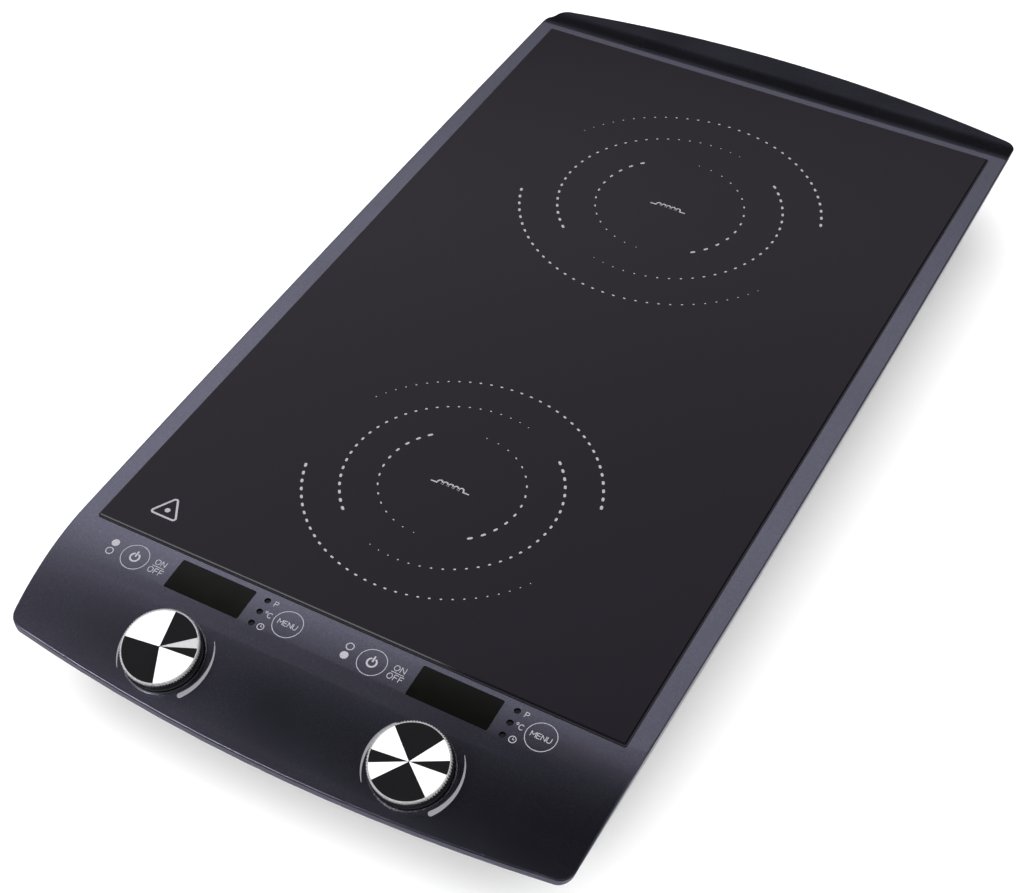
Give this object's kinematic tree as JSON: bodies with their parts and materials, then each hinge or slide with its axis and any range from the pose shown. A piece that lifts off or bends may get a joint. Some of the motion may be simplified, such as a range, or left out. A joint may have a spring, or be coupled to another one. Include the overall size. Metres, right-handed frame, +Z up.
{
  "type": "electric induction cooktop",
  "caption": "Portable multi-zone induction cooktop: black glass plate in a painted frame, curved front panel with turning knobs and touch keys, vented housing holding coils, boards and fans.",
  "frame": {"origin": "bottom centre of the whole part's bounding box, on the plane the rubber feet stand on", "axes": "+X to the user's right, +Y from the control panel towards the rear, +Z up through the glass"},
  "size_m": [0.3242, 0.639, 0.0663],
  "materials": {
    "frame_paint": "metallic dark blue-grey paint, fine flake, satin",
    "glass_black": "polished black ceramic glass",
    "silicone_black": "matt black silicone",
    "housing_black": "fine textured black plastic",
    "rubber_black": "matt rubber",
    "steel_zinc": "zinc plated",
    "litz_copper": "enamelled copper strands",
    "former_plastic": "black heat resistant plastic",
    "ferrite": "sintered ferrite",
    "mica": "pressed mica",
    "spring_steel": "bright spring wire",
    "probe_white": "white ceramic and silicone",
    "board_green": "solder-masked laminate",
    "board_brown": "phenolic laminate",
    "sink_alu": "extruded",
    "device_black": "moulded epoxy",
    "cap_red": "dipped film and sleeve",
    "choke_mat": "wound and varnished",
    "fan_black": "moulded",
    "terminal_white": "moulded",
    "window_smoke": "dark smoked acrylic",
    "module_black": "display module with grey segments",
    "led_lens": "dark lens",
    "encoder_metal": "nickel plated",
    "trim_chrome": "bright",
    "knob_black": "gloss black",
    "knob_rim_bright": "bright knurled",
    "spun_metal": "spun finish",
    "ribbon_grey": "flat cable",
    "lead_brown": "sleeved"
  },
  "bodies": {
    "base": {"base_ring_left": "trim_chrome", "base_ring_right": "trim_chrome", "board_screws": "steel_zinc", "bottom_housing": "housing_black", "capacitors_front": "cap_red", "capacitors_rear": "cap_red", "choke_and_transformer_front": "choke_mat", "choke_and_transformer_rear": "choke_mat", "coil_former_front": "former_plastic", "coil_former_rear": "former_plastic", "coil_springs_front": "spring_steel", "coil_springs_rear": "spring_steel", "coil_winding_front": "litz_copper", "coil_winding_rear": "litz_copper", "control_board_left": "board_green", "control_board_right": "board_green", "cord_gland": "housing_black", "display_module_left": "module_black", "display_module_right": "module_black", "display_window_left": "window_smoke", "display_window_right": "window_smoke", "encoder_left": "encoder_metal", "encoder_right": "encoder_metal", "fan_casing_left": "fan_black", "fan_casing_right": "fan_black", "ferrite_bars_front": "ferrite", "ferrite_bars_rear": "ferrite", "glass_gasket": "silicone_black", "glass_plate": "glass_black", "heat_sink_front": "sink_alu", "heat_sink_rear": "sink_alu", "housing_screws": "steel_zinc", "indicator_leds_left": "led_lens", "indicator_leds_right": "led_lens", "mains_leads": "lead_brown", "mica_sheet_front": "mica", "mica_sheet_rear": "mica", "power_board_front": "board_brown", "power_board_rear": "board_brown", "power_devices_front": "device_black", "power_devices_rear": "device_black", "ribbon_cables": "ribbon_grey", "rubber_feet": "rubber_black", "terminal_block": "terminal_white", "thermistor_front": "probe_white", "thermistor_rear": "probe_white", "top_frame": "frame_paint", "touch_pads_left": "silicone_black", "touch_pads_right": "silicone_black"},
    "knob_left": {"knob_body_left": "knob_black", "knob_rim_left": "knob_rim_bright", "knob_cap_left": "spun_metal", "encoder_shaft_left": "encoder_metal"},
    "fan_impeller_left": {"fan_rotor_left": "fan_black"},
    "knob_right": {"knob_body_right": "knob_black", "knob_rim_right": "knob_rim_bright", "knob_cap_right": "spun_metal", "encoder_shaft_right": "encoder_metal"},
    "fan_impeller_right": {"fan_rotor_right": "fan_black"}
  },
  "joints": [
    {"name": "knob_left_turn", "type": "hinge", "parent": "base", "child": "knob_left", "pos_m": [-0.073, -0.2927, 0.05201], "axis": [0, -0.3061, 0.952], "continuous": true},
    {"name": "knob_right_turn", "type": "hinge", "parent": "base", "child": "knob_right", "pos_m": [0.067, -0.2927, 0.05201], "axis": [0, -0.3061, 0.952], "continuous": true},
    {"name": "fan_left_spin", "type": "hinge", "parent": "base", "child": "fan_impeller_left", "pos_m": [-0.072, -0.0011, 0.0215], "axis": [0, 0, 1], "continuous": true},
    {"name": "fan_right_spin", "type": "hinge", "parent": "base", "child": "fan_impeller_right", "pos_m": [0.072, -0.0011, 0.0215], "axis": [0, 0, 1], "continuous": true}
  ]
}
